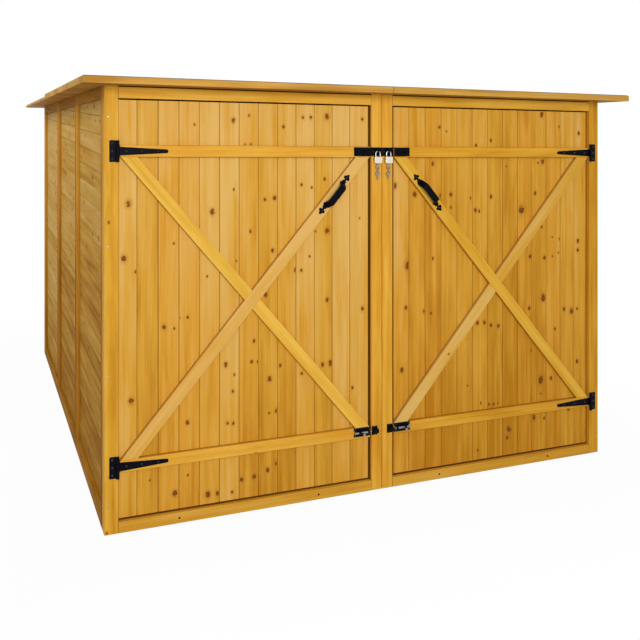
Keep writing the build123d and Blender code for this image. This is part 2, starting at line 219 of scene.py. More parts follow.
# Stained pine: planed softwood under a honey wood stain. Soft streaks run along each piece, growth rings
# show as faint bands and arches, knots are brown with a darker rim, and stain gathers in the joints.
# The same dark colour is painted shade in the gaps round the doors and where the ledges meet the boards.
pine = dict(
    ringWidth=6.5 * mm,  # wide rings of fast grown pine, drawn coarse enough to show
    sway=9 * mm,  # how far the rings wander
    # patterns: length along the grain and width across it in mm, and detail
    patterns=dict(sway=(420, 45, 1.0), streak=(700, 18, 3.0), fibre=(60, 1.6, 2.0), patch=(300, 50, 2.0),
                  mark=(320, 28, 3.0), knotEdge=(9, 7, 1.0)),
    # how much each deepens the stain, and the level of it that changes nothing
    shares=dict(lateWood=(0.11, 0.35), streak=(0.9, 0.5), fibre=(0.22, 0.5), patch=(0.8, 0.5),
                mark=(0.24, 0.1)),
    markRange=(0.54, 0.74),
    pinKnotSpacing=110 * mm,
    pinKnotStretch=1.5,
    pinKnotSize=3.2 * mm,
    pinKnotRim=(1.9, 0.5),  # where its edge starts and ends, in its size
    pinKnotShare=0.16,
    pinKnotDark=0.8,
    # ramps of place and level: rings darken slowly and end sharply, a knot has a halo and a dark rim
    lateWood=((0.0, 0), (0.55, 0.25), (0.86, 1), (1.0, 0)),
    halo=((0.0, 0), (0.38, 0.24), (0.62, 0.7), (1.0, 1)),
    heart=((0.56, 0), (0.74, 0.86), (0.84, 0.8), (1.0, 0.6)),
    knotRagged=0.95,  # how much a knot's edge wanders
    # the dark of the joints, also used as painted shade on reveals, ledge contacts and door rail ends
    jointAndShadeDark=0.7,
    tints=("#fbfff6", "#fffaf4"),  # each piece lies between these
    knotColour="#5a2f0d",
    haloColour="#ad7024",
    jointAndShadeColour="#54280a",
    roughness=0.52,
    roughSpread=0.22,
    ringRelief=0.5,
    bumpStrength=0.5,
    bumpDepth=0.25 * mm,
)
pineStains = dict(
    boards=("#dab064", "#d29a36", "#b5791a"),
    frame=("#e8b94f", "#d49a2f", "#b87a19"),
    walls=("#dcb46c", "#c8983e", "#a06a10"),
    wallFrame=("#d8a240", "#c4872a", "#94600f"),
    roof=("#e2b86c", "#d4a250", "#b07c34"),
)


def stainedPine(name, stain, gloss):
    material, add, surface = newMaterial(name)
    kinds = ("grain", "tone", "warmth", "knot", "joint")
    own = {kind: add("Attribute", attribute_name=kind).outputs for kind in kinds}
    grain, knotPlace = own["grain"]["Vector"], own["knot"]["Fac"]
    seen = {}
    for kind, (length, width, detail) in pine["patterns"].items():
        along, across = 1 / (length * mm), 1 / (width * mm)
        stretch = add("VectorMath", [grain, (along, across, across)], operation="MULTIPLY")
        seen[kind] = add("TexNoise", Scale=1.0, Detail=detail, Vector=stretch)
    # growth rings round the heart of the log
    fromHeart = add("VectorMath", [grain, (0, 1, 1)], operation="MULTIPLY")
    radius = add("VectorMath", [fromHeart], operation="LENGTH").outputs["Value"]
    wander = add("Math", [seen["sway"], pine["sway"], radius], operation="MULTIPLY_ADD")
    rings = add("Math", [wander, pine["ringWidth"]], operation="DIVIDE")
    ring = add("Math", [rings], operation="FRACT")
    seen["lateWood"] = add("ValToRGB", ramp=greyRamp(pine["lateWood"]), Fac=ring)
    # how deep the stain looks at each point
    seen["mark"] = add("MapRange", [seen["mark"], *pine["markRange"]])
    depth = own["tone"]["Fac"]
    for kind, (share, level) in pine["shares"].items():
        offset = add("Math", [seen[kind], level], operation="SUBTRACT")
        depth = add("Math", [offset, share, depth], operation="MULTIPLY_ADD")
    wood = add("ValToRGB", ramp=colourRamp((0.0, 0.5, 1.0), stain), Fac=depth)
    tint = add("ValToRGB", ramp=colourRamp((0.0, 1.0), pine["tints"]), Fac=own["warmth"]["Fac"])
    # a mix of colours has them on inputs 6 and 7 and its result on output 2
    wood = add("Mix", {0: 1.0, 6: wood, 7: tint}, data_type="RGBA", blend_type="MULTIPLY").outputs[2]
    # pin knots scattered in every piece
    spacing = pine["pinKnotSpacing"]
    perCell = (1 / spacing / pine["pinKnotStretch"], 1 / spacing, 0)
    cells = add("VectorMath", [grain, perCell], operation="MULTIPLY")
    spots = add("TexVoronoi", voronoi_dimensions="2D", Scale=1.0, Vector=cells)
    chosen = add("Math", [spots.outputs["Color"], pine["pinKnotShare"]], operation="LESS_THAN")
    outer, inner = [pine["pinKnotSize"] / spacing * share for share in pine["pinKnotRim"]]
    pin = add("MapRange", [spots, outer, inner, 0.0, pine["pinKnotDark"]])
    pinKnot = add("Math", [pin, chosen], operation="MULTIPLY")
    # knots with ragged edges, then stain gathered in the joints, and painted shade in the gaps and contacts
    ragged = add("Math", [seen["knotEdge"], 0.5], operation="SUBTRACT")
    inKnot = add("Math", [ragged, pine["knotRagged"]], operation="MULTIPLY")
    raggedKnot = add("Math", [inKnot, knotPlace, knotPlace], operation="MULTIPLY_ADD")
    halo = add("ValToRGB", ramp=greyRamp(pine["halo"]), Fac=raggedKnot)
    heart = add("ValToRGB", ramp=greyRamp(pine["heart"]), Fac=raggedKnot)
    darkest = add("Math", [heart, pinKnot], operation="MAXIMUM")
    darkening = add("Math", [own["joint"]["Fac"], pine["jointAndShadeDark"]], operation="MULTIPLY")
    for amount, colour in ((halo, "haloColour"), (darkest, "knotColour"), (darkening, "jointAndShadeColour")):
        wood = add("Mix", {0: amount, 6: wood, 7: linear(pine[colour])}, data_type="RGBA").outputs[2]
    spread = pine["roughSpread"]
    rough = add("Math", [seen["fibre"], spread, pine["roughness"] - spread / 2], operation="MULTIPLY_ADD")
    relief = add("Math", [seen["lateWood"], pine["ringRelief"], seen["fibre"]], operation="MULTIPLY_ADD")
    bump = add("Bump", Strength=pine["bumpStrength"], Distance=pine["bumpDepth"], Height=relief)
    setNode(surface, {"Base Color": wood, "Roughness": rough, "Normal": bump, "Specular IOR Level": gloss})
    return material


boardPine = stainedPine("stainedPineBoards", pineStains["boards"], gloss=0.06)
framePine = stainedPine("stainedPineFrame", pineStains["frame"], gloss=0.07)
wallPine = stainedPine("stainedPineWallBoards", pineStains["walls"], gloss=0.005)  # left matt by the stain
wallFramePine = stainedPine("stainedPineWallFrame", pineStains["wallFrame"], gloss=0.005)
roofPine = stainedPine("stainedPineRoofDeck", pineStains["roof"], gloss=0.02)


# Powder coated steel: pressed plate baked in a black coat, so it is smooth, half matt and a little blue,
# with the fine dimples of the coat.
def blackCoatedSteel(name, roughness, gloss):
    look = dict(colours=("#03040a", "#090a13"), wearLevels=(0.35, 0.75), wearSize=30 * mm, roughSpread=0.2,
                dimple=1.4 * mm, dimpleDepth=0.05 * mm, dimpleStrength=0.4)
    material, add, surface = newMaterial(name)
    place = add("TexCoord").outputs["Object"]
    dimples = add("TexNoise", Scale=1 / look["dimple"], Detail=1.0, Vector=place)
    wear = add("TexNoise", Scale=1 / look["wearSize"], Detail=3.0, Vector=place)
    colour = add("ValToRGB", ramp=colourRamp(look["wearLevels"], look["colours"]), Fac=wear)
    spread = look["roughSpread"]
    rough = add("Math", [wear, spread, roughness - spread / 2], operation="MULTIPLY_ADD")
    bump = add("Bump", Strength=look["dimpleStrength"], Distance=look["dimpleDepth"], Height=dimples)
    setNode(surface, {"Base Color": colour, "Roughness": rough, "Normal": bump, "Specular IOR Level": gloss})
    return material


# Plated steel and brass: drawn and polished, so it is bright with fine drawing marks
def platedMetal(name, bright, dull, roughness):
    look = dict(markWidth=0.5 * mm, markLength=12 * mm, levels=(0.3, 0.7), roughSpread=0.25, roughDrop=0.12)
    material, add, surface = newMaterial(name)
    place = add("TexCoord").outputs["Object"]
    across, along = 1 / look["markWidth"], 1 / look["markLength"]
    marks = add("VectorMath", [place, (across, across, along)], operation="MULTIPLY")
    noise = add("TexNoise", Scale=1.0, Detail=2.0, Vector=marks)
    colour = add("ValToRGB", ramp=colourRamp(look["levels"], (dull, bright)), Fac=noise)
    least = roughness - look["roughDrop"]
    rough = add("Math", [noise, look["roughSpread"], least], operation="MULTIPLY_ADD")
    setNode(surface, {"Base Color": colour, "Roughness": rough, "Metallic": 1.0})
    return material


# Mineral roofing felt: bitumen sheet pressed with slate grit, so it is matt, speckled and rough
def mineralFelt():
    look = dict(grit=3 * mm, gritDepth=0.7 * mm, gritStrength=0.8, gritShare=0.55,  # grit drawn coarse
                cloud=180 * mm, cloudRange=(0.32, 0.68), colours=("#23291f", "#596352"), levels=(0.35, 0.98),
                roughness=0.93)
    material, add, surface = newMaterial("mineralRoofingFelt")
    place = add("TexCoord").outputs["Object"]
    grit = add("TexVoronoi", Scale=1 / look["grit"], Vector=place)
    cloud = add("TexNoise", Scale=1 / look["cloud"], Detail=3.0, Vector=place)
    faint = add("MapRange", [cloud, 0.0, 1.0, *look["cloudRange"]])
    speckle = add("Math", [grit.outputs["Color"], look["gritShare"], faint], operation="MULTIPLY_ADD")
    colour = add("ValToRGB", ramp=colourRamp(look["levels"], look["colours"]), Fac=speckle)
    bump = add("Bump", Strength=look["gritStrength"], Distance=look["gritDepth"], Height=grit)
    setNode(surface, {"Base Color": colour, "Roughness": look["roughness"], "Normal": bump})
    return material


blackSteel = blackCoatedSteel("powderCoatedSteel", roughness=0.46, gloss=0.05)
screwSteel = blackCoatedSteel("blackedScrewSteel", roughness=0.3, gloss=0.4)  # bright where it was driven
zincSteel = platedMetal("zincPlatedSteel", "#a2a4a2", "#6c6f6d", roughness=0.36)
chromedSteel = platedMetal("chromePlatedSteel", "#c4c6c4", "#8e918e", roughness=0.3)
nickelBrass = platedMetal("nickelPlatedBrass", "#f1ebd8", "#c9c1aa", roughness=0.3)
keySteel = platedMetal("stampedKeySteel", "#aaa498", "#68625a", roughness=0.4)
roofFelt = mineralFelt()
print("materials ready")


def newHeap():
    return dict(points=[], faces=[], grain=[], tone=[], warmth=[], knot=[], joint=[])


# One mesh piece from a heap, riding on its body in place of its CAD nodes
def makePiece(name, heap, body, material, nodes=(), smooth=None):
    mesh = bpy.data.meshes.new(name)
    mesh.from_pydata(heap["points"], [], heap["faces"])
    if heap["grain"]:
        flat = [x for vector in heap["grain"] for x in vector]
        mesh.attributes.new("grain", "FLOAT_VECTOR", "POINT").data.foreach_set("vector", flat)
        for kind in ("tone", "warmth", "knot", "joint"):
            mesh.attributes.new(kind, "FLOAT", "POINT").data.foreach_set("value", heap[kind])
    if smooth:
        mesh.shade_smooth()
        mesh.set_sharp_from_angle(angle=math.radians(smooth))
    mesh.materials.append(material)
    piece = bpy.data.objects.new(name, mesh)
    scene.collection.objects.link(piece)
    if smooth:  # flat faces stay flat beside their softened edges
        piece.modifiers.new("evenShading", "WEIGHTED_NORMAL").keep_sharp = True
    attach(piece, body)
    if nodes:
        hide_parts(*nodes)


closeness = dict(
    weld=0.01 * mm,
    flat=math.radians(0.5),  # triangles that lie flatter than this are one face
    cut=0.001 * mm,  # a point this near to a cut lies on it
    line=0.05 * mm,  # a point this near to a joint or a row lies on it
)


# Separate solids of a CAD node, welded and cleared of their triangles, from left to right
def solidsOf(node):
    whole = bmesh.new()
    whole.from_mesh(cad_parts[node].data)
    bmesh.ops.remove_doubles(whole, verts=whole.verts, dist=closeness["weld"])
    bmesh.ops.dissolve_limit(whole, angle_limit=closeness["flat"], verts=whole.verts, edges=whole.edges)
    whole.faces.index_update()
    seen = set()
    solids = []
    for first in whole.faces:
        if first.index in seen:
            continue
        seen.add(first.index)
        group = [first]
        for face in group:
            for other in (f for edge in face.edges for f in edge.link_faces):
                if other.index not in seen:
                    seen.add(other.index)
                    group.append(other)
        solid = bmesh.new()
        made = {}
        for face in group:
            for vert in face.verts:
                if vert not in made:
                    made[vert] = solid.verts.new(vert.co)
            solid.faces.new([made[vert] for vert in face.verts])
        solids.append(solid)
    whole.free()
    return sorted(solids, key=lambda s: tuple(round(c, 4) for c in middleOf(s)))


def boxOf(solid):
    lows = Vector([min(v.co[i] for v in solid.verts) for i in range(3)])
    highs = Vector([max(v.co[i] for v in solid.verts) for i in range(3)])
    return lows, highs


def middleOf(solid):
    lows, highs = boxOf(solid)
    return (lows + highs) / 2


def solidBoxes(node):
    solids = solidsOf(node)
    boxes = [boxOf(solid) for solid in solids]
    for solid in solids:
        solid.free()
    return boxes


def roundEdges(solid, radius, segments=2, sharp=30):
    solid.normal_update()
    edges = [e for e in solid.edges if len(e.link_faces) == 2 and e.calc_face_angle() > math.radians(sharp)]
    bmesh.ops.bevel(solid, geom=edges, offset=radius, segments=segments, profile=0.5, affect="EDGES",
                    clamp_overlap=True)


# A row of edges where a plane crosses a solid, which can also take away what lies beyond it
def cutAcross(solid, point, normal, away=False):
    return bmesh.ops.bisect_plane(solid, geom=solid.verts[:] + solid.edges[:] + solid.faces[:],
                                  dist=closeness["cut"], plane_co=point, plane_no=normal, clear_outer=away)


# Keeps the side of a solid behind the plane's normal and closes it
def trim(solid, point, normal):
    cut = cutAcross(solid, point, normal, away=True)
    rim = [g for g in cut["geom_cut"] if isinstance(g, bmesh.types.BMEdge)]
    if rim and solid.faces:
        bmesh.ops.contextual_create(solid, geom=rim)
        bmesh.ops.recalc_face_normals(solid, faces=solid.faces)
    return bool(solid.faces)


# How near a point of a face is to a knot, and where the grain that flows round the knots has it
knotShape = dict(rings=(0.5, 0.85, 1.0, 1.25, 1.7, 2.5, 3.6), sides=12, stretch=1.3, reach=3.6,
                 squeeze=0.2)  # width that the grain keeps inside a knot


def knotPull(u, v, knots):
    near, across = 0.0, v
    squeeze = knotShape["squeeze"]
    for knotU, knotV, radius in knots:
        away = math.hypot((u - knotU) / knotShape["stretch"], v - knotV) / radius
        if away < knotShape["reach"]:
            near = max(near, 1 - away / knotShape["reach"])
            part = min(max((away - 1) / (knotShape["reach"] - 1), 0.0), 1.0)
            across = knotV + (v - knotV) * (squeeze + (1 - squeeze) * part * part * (3 - 2 * part))
    return near, across


# The log each piece was sawn from: where its heart lay, how it sloped, and the height at which a piece is
# neither darker nor paler
logs = dict(shift=80, heartAcross=40 * mm, heartBelow=(25, 90), slope=0.025, evenLevel=0.75)  # below in mm


# Puts a solid on a heap with its grain. The place has the piece's length along X and its thickness along Z,
# and the draw gives each piece its own log. Each piece is darker towards the ground.
def stack(heap, solid, place, draw, tone, knots=(), joints=(), deepen=0.0, jointAndShadeEnds=None, revealShade=(),
          gather=(0.35, 1.0)):
    back = place.inverted()
    shift = draw.uniform(0, logs["shift"])
    warmth = draw.random()
    heartAcross = draw.uniform(-1, 1) * logs["heartAcross"]
    heartBelow = draw.uniform(*logs["heartBelow"]) * mm
    slope = draw.uniform(-logs["slope"], logs["slope"])
    darkening = [draw.uniform(*gather) for _ in joints]
    first = len(heap["points"])
    solid.verts.index_update()
    for vert in solid.verts:
        u, v, w = back @ vert.co
        near, across = knotPull(u, v, knots)
        heap["points"].append(vert.co[:])
        heap["grain"].append((u + shift, across + heartAcross, w + heartBelow + slope * u))
        heap["tone"].append(tone + deepen * (logs["evenLevel"] - vert.co.z))
        heap["warmth"].append(warmth)
        heap["knot"].append(near)
        onJoint = [share for level, share in zip(joints, darkening) if abs(v - level) < closeness["line"]]
        dark = max(onJoint, default=0.0)
        if jointAndShadeEnds is not None and abs(u) > jointAndShadeEnds:
            dark = 1.0
        for level, side, share in revealShade:
            if abs(w - level) < closeness["line"] and v * side >= 0:
                dark = share
        heap["joint"].append(dark)
    for face in solid.faces:
        heap["faces"].append([first + vert.index for vert in face.verts])
    solid.free()


# A place whose X axis follows the given length and whose Z axis points out of the face
def placeAlong(origin, along, outward):
    across = Vector(outward).cross(Vector(along)).normalized()
    place = Matrix.Identity(4)
    for column, axis in enumerate((Vector(along).normalized(), across, Vector(outward).normalized())):
        place.col[column][:3] = axis
    place.col[3][:3] = origin
    return place


# Shade is painted on a reveal, where the door's boards lie behind the frame's face. Each row cut there
# has its place in the timber, the side it is on and how dark it is.
def cutRevealShade(solid, look, place):
    low, high = boxOf(solid)
    middle = (low + high) / 2
    doorLow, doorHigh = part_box("left_door_boards" if middle.x < 0 else "right_door_boards")
    side = 0 if look.get("bothSides") else ((doorLow + doorHigh) / 2 - middle).dot(place.col[1].to_3d())
    rows = []
    for depth, share in look.get("revealShade", ()):
        level = low.y + depth * mm
        cutAcross(solid, (0, level, 0), toFront)
        rows.append((middle.y - level, side, share))
    return rows


# Makes a timber a little wider, so that it closes against the next one
def swell(solid, place, amount):
    across = place.col[1].to_3d()
    for vert in solid.verts:
        vert.co += across * math.copysign(amount, (vert.co - place.translation).dot(across))


endShare = 0.8  # share of an arris that counts as the timber's end


# Planed timber: the CAD solids with rounded arrises, grain along their length
def planedTimber(node, body, look, along, outward):
    draw = random.Random(look["seed"] + node)
    heap = newHeap()
    for number, solid in enumerate(solidsOf(node)):
        low, high = boxOf(solid)
        place = placeAlong((low + high) / 2, along, outward)
        swell(solid, place, look.get("swell", 0.0))
        roundEdges(solid, look["arris"])
        tone = look["tones"][number % len(look["tones"])]
        ends = None
        if look.get("jointAndShadeEnds"):
            ends = abs((high - low).dot(Vector(along))) / 2 - endShare * look["arris"]
        revealShade = cutRevealShade(solid, look, place)
        stack(heap, solid, place, draw, tone, deepen=look.get("deepen", 0.0), jointAndShadeEnds=ends, revealShade=revealShade)
    makePiece(node + "_planed", heap, body, look.get("material", framePine), [node])


xAxis, yAxis, zAxis = (1, 0, 0), (0, 1, 0), (0, 0, 1)
toFront, toLeft, toBack, toRight = (0, -1, 0), (-1, 0, 0), (0, 1, 0), (1, 0, 0)

# Front frame and rear posts: tones from left to right, and painted shade on the reveals, by depth in mm and
# darkness
frameTimbers = dict(
    front_corner_posts=dict(seed="corner", along=zAxis, arris=1.8 * mm, tones=(0.5, 0.7),
                            revealShade=((12, 0.0), (18, 0.5))),
    front_middle_posts=dict(seed="middle", along=zAxis, arris=1.8 * mm, tones=(0.42, 0.4), bothSides=True,
                            revealShade=((10, 0.25), (13, 1.1), (18, 1.3))),
    lintels=dict(seed="lintel", along=xAxis, arris=1.5 * mm, tones=(0.4, 0.4), jointAndShadeEnds=True,
                 revealShade=((10, 0.15), (18, 1.2))),
    sills=dict(seed="sill", along=xAxis, arris=1.5 * mm, tones=(0.6, 0.6), jointAndShadeEnds=True,
               revealShade=((13, 0.1), (18, 1.3)), material=boardPine),
    rear_corner_posts=dict(seed="rear", along=zAxis, outward=toBack, arris=1.8 * mm, tones=(0.55, 0.6)),
)
for node, look in frameTimbers.items():
    planedTimber(node, "shelter", look, look["along"], look.get("outward", toFront))
print("front frame ready")

# Wall frames
wallStiles = dict(seed="stile", arris=1.5 * mm, tones=(0.75, 0.45, 0.85, 0.55), deepen=0.5,
                  material=wallFramePine, swell=1.05 * mm)  # the panels are drawn tight together
wallRails = dict(seed="rail", arris=1.5 * mm, tones=(0.85, 0.5, 0.9, 0.55, 0.8, 0.5), material=wallFramePine)
wallSides = dict(left=(yAxis, toLeft), right=(yAxis, toRight), back=(xAxis, toBack))
for side, (level, outward) in wallSides.items():
    planedTimber(side + "_wall_stiles", "shelter", wallStiles, zAxis, outward)
    planedTimber(side + "_wall_rails", "shelter", wallRails, level, outward)
print("wall frames ready")

# Roof timbers
roofTimbers = dict(seed="rafter", arris=1.5 * mm, tones=(0.4, 0.55))
planedTimber("roof_purlin", "shelter", roofTimbers, xAxis, (0, 0, -1))
planedTimber("roof_rafters", "shelter", roofTimbers, yAxis, (0, 0, -1))

# Points of a matchboard's face
boardMesh = dict(
    margin=0.25,  # points keep this share of the chamfer from the face's edge
    edgeRow=1.2,  # a row along the edge lies this many margins in
    edgeSteps=6,
    merge=1e-7,
)


# A matchboard in its own place: U along it, V across, W up to its face, with V joints on both faces.
# Its face is cut into triangles round its knots, so that each knot is real in the mesh.
def matchboard(length, width, thickness, chamfer, knots):
    corners = [(0, chamfer), (length, chamfer), (length, width - chamfer), (0, width - chamfer)]
    points = [Vector(c) for c in corners]
    margin = chamfer * boardMesh["margin"]
    rowInset = chamfer + boardMesh["edgeRow"] * margin
    steps = boardMesh["edgeSteps"]
    for u, v, radius in knots:
        around = [(u, v)]
        for number, size in enumerate(knotShape["rings"]):
            for i in range(knotShape["sides"]):
                angle = 2 * math.pi * (i + 0.5 * (number % 2)) / knotShape["sides"]
                around.append((u + size * radius * knotShape["stretch"] * math.cos(angle),
                               v + size * radius * math.sin(angle)))
        reach = knotShape["reach"] * radius
        for edge in (rowInset, width - rowInset):
            if abs(v - edge) < reach:  # a row along the edge ends the knot there
                half = reach * knotShape["stretch"]
                around += [(u + half * i / steps, edge) for i in range(-steps, steps + 1)]
        points += [Vector(p) for p in around if margin < p[0] < length - margin
                   and chamfer + margin < p[1] < width - chamfer - margin]
    flat, _, triangles, came, _, _ = delaunay_2d_cdt(points, [], [[0, 1, 2, 3]], 1, boardMesh["merge"])
    solid = bmesh.new()
    face = [solid.verts.new((p.x, p.y, 0)) for p in flat]
    front = [face[next(i for i, ids in enumerate(came) if c in ids)] for c in range(4)]
    edges = [(0, 0), (length, 0), (length, width), (0, width)]
    upper = [solid.verts.new((u, v, -chamfer)) for u, v in edges]
    lower = [solid.verts.new((u, v, chamfer - thickness)) for u, v in edges]
    rear = [solid.verts.new((u, v, -thickness)) for u, v in corners]
    for triangle in triangles:
        solid.faces.new([face[i] for i in triangle])
    levels = (front, upper, lower, rear)
    for above, below in zip(levels, levels[1:]):
        for a, b in ((0, 1), (2, 3)):
            solid.faces.new([above[b], above[a], below[a], below[b]])
    for a, b in ((1, 2), (3, 0)):
        solid.faces.new([row[a] for row in levels] + [row[b] for row in reversed(levels)])
    solid.faces.new([rear[3], rear[2], rear[1], rear[0]])
    bmesh.ops.recalc_face_normals(solid, faces=solid.faces)
    return solid


# Door boards: upright matchboards. Knots are listed: across from the doors' middle, up, radius, in mm.
doorBoards = dict(
    firstWidth=58 * mm,  # ripped narrow beside the hinges
    width=70 * mm,
    chamfer=1.6 * mm,
    seam=0.4 * mm,
    hingeReach=3 * mm,  # the board beside the hinges comes this much nearer to the post
    freeCut=8.5 * mm,  # the right door shows a wider joint beside its middle post
    lastWidest=1.5,  # the last board may be this many times as wide
    knotScale=0.6,
    knotGrowth=0.05,  # a large knot shows more of itself than a small one
    deepen=0.3,
    tones=dict(
        left=(0.3, 0.55, 0.42, 0.45, 0.3, 0.25, 0.48, 0.55, 0.5, 0.3, 0.5, 0.2, 0.3),
        right=(0.45, 0.62, 0.68, 0.68, 0.6, 0.55, 0.7, 0.78, 0.72, 0.68, 0.6, 0.52, 0.55),
    ),
    knots=dict(
        left=[
            (-563, 1342, 5), (-699, 1325, 3), (-380, 1322, 4), (-305, 1356, 4), (-275, 1357, 4),
            (-214, 1361, 6), (-72, 1355, 4), (-521, 1260, 3), (-500, 1260, 3), (-920, 1064, 6),
            (-934, 884, 6), (-895, 840, 4), (-637, 1029, 6), (-561, 1104, 3), (-448, 1069, 4),
            (-412, 1073, 5), (-501, 959, 4), (-552, 859, 3), (-420, 890, 5), (-311, 1118, 4),
            (-272, 1107, 3), (-222, 1137, 4), (-212, 952, 6), (-258, 950, 3), (-280, 862, 3),
            (-333, 816, 5), (-312, 813, 4), (-446, 735, 5), (-655, 811, 3), (-83, 993, 3),
            (-769, 928, 3), (-802, 651, 5), (-768, 644, 3), (-722, 678, 4), (-750, 677, 3),
            (-488, 579, 4), (-590, 506, 5), (-497, 507, 4), (-474, 505, 4), (-431, 442, 6),
            (-391, 484, 4), (-565, 411, 4), (-723, 325, 5), (-583, 306, 4), (-563, 303, 4),
            (-405, 328, 5), (-432, 322, 3), (-911, 417, 6), (-212, 703, 5), (-71, 661, 5),
            (-230, 472, 5), (-199, 474, 6), (-112, 377, 4), (-849, 148, 3), (-766, 93, 6),
            (-722, 148, 3), (-653, 72, 6), (-619, 70, 5), (-567, 66, 4), (-533, 104, 5),
            (-488, 108, 5), (-438, 125, 5), (-407, 143, 5), (-310, 448, 4),
        ],
        right=[
            (255, 1331, 4), (285, 1315, 3), (225, 1190, 5), (418, 1262, 4), (487, 1282, 4),
            (612, 1390, 4), (731, 1388, 6), (916, 1315, 5), (735, 1199, 6), (712, 1194, 3),
            (698, 1072, 5), (632, 1007, 9), (488, 1062, 5), (416, 1010, 5), (433, 1006, 4),
            (146, 1077, 6), (62, 1110, 6), (260, 1070, 5), (305, 1073, 5), (305, 1024, 4),
            (118, 812, 8), (225, 832, 4), (675, 820, 6), (745, 810, 6), (730, 936, 4),
            (783, 892, 3), (820, 884, 4), (783, 815, 3), (912, 872, 5), (912, 835, 5),
            (560, 1180, 3), (110, 651, 5), (188, 634, 5), (217, 625, 4), (425, 571, 5),
            (457, 571, 5), (488, 558, 5), (522, 552, 5), (738, 651, 8), (669, 613, 5),
            (717, 483, 7), (680, 443, 4), (92, 420, 6), (380, 333, 3), (725, 320, 8),
            (776, 322, 5), (440, 258, 4), (478, 250, 4), (500, 248, 4), (520, 250, 3),
            (842, 598, 5), (880, 586, 7), (908, 594, 4), (796, 520, 4), (908, 378, 5),
            (710, 464, 5), (726, 265, 3), (864, 188, 5), (692, 172, 6), (742, 164, 4),
            (572, 140, 7), (564, 108, 5), (426, 77, 4),
        ],
    ),
)


def doorBoarding(side):
    draw = random.Random("boards" + side)
    low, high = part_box(side + "_door_boards")
    heap = newHeap()
    wide = high.x - low.x
    starts = [0.0, doorBoards["firstWidth"]]
    while starts[-1] + doorBoards["width"] * doorBoards["lastWidest"] < wide:
        starts.append(starts[-1] + doorBoards["width"])
    edges = [low.x + s for s in starts] + [high.x]
    last = len(edges) - 2
    if side == "left":
        edges[0] -= doorBoards["hingeReach"]
    else:
        edges = [low.x + high.x - e for e in reversed(edges)]
        edges[0] += doorBoards["freeCut"]
        edges[-1] += doorBoards["hingeReach"]
    for number, (start, end) in enumerate(zip(edges, edges[1:])):
        place = placeAlong((end, low.y, low.z), zAxis, toFront)
        knots = []
        for x, z, r in doorBoards["knots"][side]:
            if start < x * mm < end:
                radius = r * mm * (doorBoards["knotScale"] + doorBoards["knotGrowth"] * r)
                knots.append((z * mm - low.z, end - x * mm, radius))
        width = end - start - doorBoards["seam"]
        solid = matchboard(high.z - low.z, width, high.y - low.y, doorBoards["chamfer"], knots)
        bmesh.ops.transform(solid, matrix=place, verts=solid.verts)
        tone = doorBoards["tones"][side][number]
        joints = (0, width)
        if number == 0 and side == "left":  # no joint beside the hinges
            joints = (0,)
        elif number == last and side == "right":
            joints = (width,)
        stack(heap, solid, place, draw, tone, knots, joints, doorBoards["deepen"])
    node = side + "_door_boards"
    makePiece(side + "_door_matchboards", heap, side + "_door", boardPine, [node])


for side in ("left", "right"):
    doorBoarding(side)
print("door boards ready")

# Wall boards: level matchboards in each panel, trimmed to the slope of the roof
# the last of the panelTones is painted light: each wall's last panel is paler, as the far end of the left
# wall is lit brighter
wallBoards = dict(width=64 * mm, chamfer=1.6 * mm, seam=0.4 * mm, thinnest=4 * mm,
                  knotsPerMetre=3.0, knotSizes=(2.0, 5.5), knotAlong=(0.02, 0.98), knotAcross=(0.2, 0.8),
                  tones=(0.35, 0.75), panelTones=(0.05, 0.0, -0.25), deepen=0.5, gather=(0.15, 0.6))


# A point on the roof's seat and the seat's upward normal, from the tops of the posts
def roofSeat():
    front = max((v.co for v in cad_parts["front_corner_posts"].data.vertices), key=lambda c: c.z)
    rear = max((v.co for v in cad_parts["rear_corner_posts"].data.vertices), key=lambda c: c.z)
    slope = Vector((0, rear.y - front.y, rear.z - front.z))
    return front.copy(), Vector(xAxis).cross(slope).normalized()


def wallBoarding(side, level, outward):
    draw = random.Random("wall" + side)
    heap = newHeap()
    seatPoint, seatNormal = roofSeat()
    for panelTone, (low, high) in zip(wallBoards["panelTones"], solidBoxes(side + "_wall_boards")):
        along = Vector(level)
        length = (high - low).dot(along)
        thickness = abs((high - low).dot(Vector(outward)))
        corner = Vector((high.x if outward[0] > 0 else low.x, high.y if outward[1] > 0 else low.y, low.z))
        # boards are laid from the ground up, so the length turns round
        if Vector(outward).cross(along).z < 0:
            corner += along * length
            along = -along
        bottom = low.z
        while bottom < high.z - wallBoards["thinnest"]:
            width = min(wallBoards["width"], high.z - bottom) - wallBoards["seam"]
            knots = []
            for _ in range(int(draw.random() + length * wallBoards["knotsPerMetre"])):
                radius = draw.uniform(*wallBoards["knotSizes"]) * mm
                alongPlace = draw.uniform(*wallBoards["knotAlong"]) * length
                acrossPlace = draw.uniform(*wallBoards["knotAcross"]) * width
                knots.append((alongPlace, acrossPlace, radius))
            place = placeAlong((corner.x, corner.y, bottom), along, outward)
            solid = matchboard(length, width, thickness, wallBoards["chamfer"], knots)
            bmesh.ops.transform(solid, matrix=place, verts=solid.verts)
            if trim(solid, seatPoint, seatNormal):
                tone = draw.uniform(*wallBoards["tones"]) + panelTone
                stack(heap, solid, place, draw, tone, knots, (0, width), wallBoards["deepen"],
                      gather=wallBoards["gather"])
            bottom += wallBoards["width"]
    makePiece(side + "_wall_matchboards", heap, "shelter", wallPine, [side + "_wall_boards"])


for side, (level, outward) in wallSides.items():
    wallBoarding(side, level, outward)
print("wall boards ready")

# Door ledges and braces
# The ledges and braces get painted shade where they meet the boards
contactShade = ((7, 0.2), (16, 0.9))  # dark where they meet the boards, by depth in mm
ledgesAndBraces = dict(arris=1.5 * mm, bothSides=True, revealShade=contactShade)
